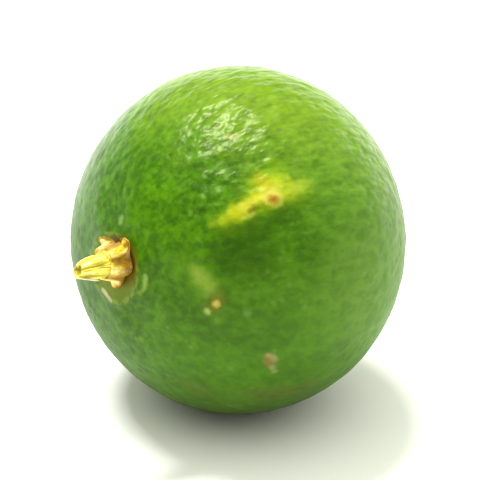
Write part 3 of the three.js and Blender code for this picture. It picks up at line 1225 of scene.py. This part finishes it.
@dataclass(frozen=True)
class StemFinish:
    """Fresh snapped wood: bright yellow, fibrous, with pale ridges and olive hollows; the olive between the
    ridges, in the dent and at the hollow end is painted shade.
    """

    bright: Colour = srgb(240, 226, 84)
    pale: Colour = srgb(252, 246, 170)
    dull: Colour = srgb(168, 146, 24)
    green: Colour = srgb(128, 132, 30)
    dry: Colour = srgb(226, 220, 186)
    fibre_drawn: float = 0.85  # share by which its streaks are drawn out along it

    def material(self, lie: Lie) -> bpy.types.Material:
        """Makes the stem's material.

        Args:
            lie: How the fruit lies.

        Returns:
            The material.
        """
        coat = Coat("stem_fibre", lie, self.dull)
        streak = coat.noise(coat.drawn(self.fibre_drawn), 0.22, 3.0, 0.6)
        pale = coat.attribute("pale")
        coat.over(pale.rise(0.15, 0.6), self.bright)
        coat.over(pale.rise(0.55, 0.95) * streak.rise(0.35, 0.6), self.pale)
        coat.over(streak.rise(0.55, 0.72) * 0.45, self.dull)
        coat.over(coat.noise(coat.spot, 1.0).rise(0.5, 0.66) * 0.45, self.green)
        coat.over(pale.rise(1.0, 1.4), self.dry)
        coat.set(
            base_color=coat.colour,
            roughness=0.5 + 0.3 * (streak - 0.5),
            specular_ior_level=0.4,
            normal=coat.relief(streak, 0.05, 0.8),
        )
        return coat.material


@dataclass
class Studio:
    """A pale floor, soft light from above and all round, and the camera at the photograph's angle."""

    lie: Lie
    camera_elevation: float = 27.5
    camera_distance: float = 320.0
    camera_aside: float = 0.2  # how far it stands to the right of the fruit's middle
    frame_width: float = 41.37  # of what the camera sees at the fruit's middle
    sensor: float = 36.0
    clip: tuple[float, float] = (0.01, 20.0)  # of the camera, in metres
    floor_half: float = 3000.0
    floor_drop: float = 0.01  # under the fruit
    floor_colour: Colour = (0.9, 0.9, 0.9)
    sky_dim: float = 0.28  # strength of the sky where nothing brightens it
    sky_top: float = 1.65
    sky_back: float = 2.0
    sky_right: float = 0.6
    top: Side = Side((0.0, 0.0, 1.0), 0.4, 1.0)
    low: Side = Side((0.0, 0.0, 1.0), 0.45, 0.1)
    back: Side = Side((0.0, 1.0, 0.0), 0.1, 0.8)
    right: Side = Side((1.0, 0.0, 0.0), 0.1, 1.0)
    sky_colour: Colour = (0.98, 1.0, 0.87)
    box_azimuth: float = -40.0  # of the softbox, from +Y towards +X
    box_elevation: float = 71.0
    box_roll: float = -19.0
    box_distance: float = 1200.0
    box_size: tuple[float, float] = (560.0, 108.0)
    box_radiance: float = 120.0
    box_colour: Colour = (1.0, 0.99, 0.97)

    def build(self) -> None:
        """Makes the floor, the lights and the camera."""
        self.floor()
        self.light()
        self.camera()
        view = bpy.context.scene.view_settings
        view.view_transform = "Standard"
        view.look = "None"

    def floor(self) -> None:
        """A plain matt floor just under the fruit."""
        half = self.floor_half * MM
        drop = -self.floor_drop * MM
        corners = [(-half, -half, drop), (half, -half, drop), (half, half, drop), (-half, half, drop)]
        piece = make_mesh("floor", np.array(corners), [(0, 1, 2, 3)], {})
        shader = Shader("floor_matt")
        shader.set(base_color=self.floor_colour, roughness=0.8, specular_ior_level=0.2)
        piece.data.materials.append(shader.material)

    def light(self) -> None:
        """An even sky and one softbox."""
        world = bpy.data.worlds.new("studio")
        bpy.context.scene.world = world
        world.use_nodes = True
        sky = Nodes(world.node_tree)
        way = sky.node("ShaderNodeTexCoord", {}, {}, "Generated")
        top = self.top.share(way) * self.sky_top
        back = self.back.share(way) * self.low.share(way) * self.sky_back
        glow = top + back + self.right.share(way) * self.sky_right + self.sky_dim
        direct = sky.node("ShaderNodeLightPath", {}, {}, "Is Camera Ray")
        strength = direct + (1 - direct) * glow
        colour = sky.mix(direct, self.sky_colour, (1.0, 1.0, 1.0))
        light = sky.node("ShaderNodeBackground", {}, {"Color": colour, "Strength": strength})
        sky.end("ShaderNodeOutputWorld", light.socket)
        lamp = bpy.data.lights.new("softbox", "AREA")
        lamp.shape = "RECTANGLE"
        lamp.size, lamp.size_y = (side * MM for side in self.box_size)
        lamp.energy = self.box_radiance * math.pi * lamp.size * lamp.size_y
        lamp.color = self.box_colour
        holder = bpy.data.objects.new("softbox", lamp)
        azimuth, elevation = math.radians(self.box_azimuth), math.radians(self.box_elevation)
        flat = math.cos(elevation)
        way = Vector((math.sin(azimuth) * flat, math.cos(azimuth) * flat, math.sin(elevation)))
        holder.location = Vector(self.lie.middle() * MM) + way * self.box_distance * MM
        roll = Quaternion((0, 0, 1), math.radians(self.box_roll))
        holder.rotation_euler = (way.to_track_quat("Z", "Y") @ roll).to_euler()
        bpy.context.scene.collection.objects.link(holder)

    def camera(self) -> None:
        """The camera, looking along +Y and down at the fruit's middle."""
        data = bpy.data.cameras.new("camera")
        data.sensor_width = self.sensor
        data.lens = self.sensor * self.camera_distance / self.frame_width
        data.clip_start, data.clip_end = self.clip
        camera = bpy.data.objects.new("camera", data)
        elevation = math.radians(self.camera_elevation)
        back = Vector((0, -math.cos(elevation), math.sin(elevation)))
        target = Vector(self.lie.middle() * MM) + Vector((self.camera_aside * MM, 0, 0))
        camera.location = target + back * self.camera_distance * MM
        camera.rotation_euler = back.to_track_quat("Z", "Y").to_euler()
        bpy.context.scene.collection.objects.link(camera)
        bpy.context.scene.camera = camera


def stand_for(piece: bpy.types.Object, node: str, material: bpy.types.Material) -> None:
    """Dresses a piece and puts it in place of a CAD node.

    Args:
        piece: The piece.
        node: The CAD node's name.
        material: What it is dressed in.
    """
    piece.data.materials.append(material)
    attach(piece, BODY)
    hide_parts(node)
    log.info("%s stands for %s: %d faces", piece.name, node, len(piece.data.polygons))


def main() -> None:
    """Builds the studio and the pieces round the CAD frame."""
    logging.basicConfig(level=logging.INFO, format="%(message)s")
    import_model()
    lie = Lie()
    Studio(lie).build()
    skin = Skin(lie, Scar())
    stand_for(Rind(skin).build(), "fruit", RindFinish().material(skin))
    calyx = Calyx(skin)
    stand_for(calyx.build(), "calyx", HuskFinish().material(lie))
    stand_for(Stem(skin, calyx).build(), "stem", StemFinish().material(lie))
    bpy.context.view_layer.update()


if __name__ == "__main__":
    main()
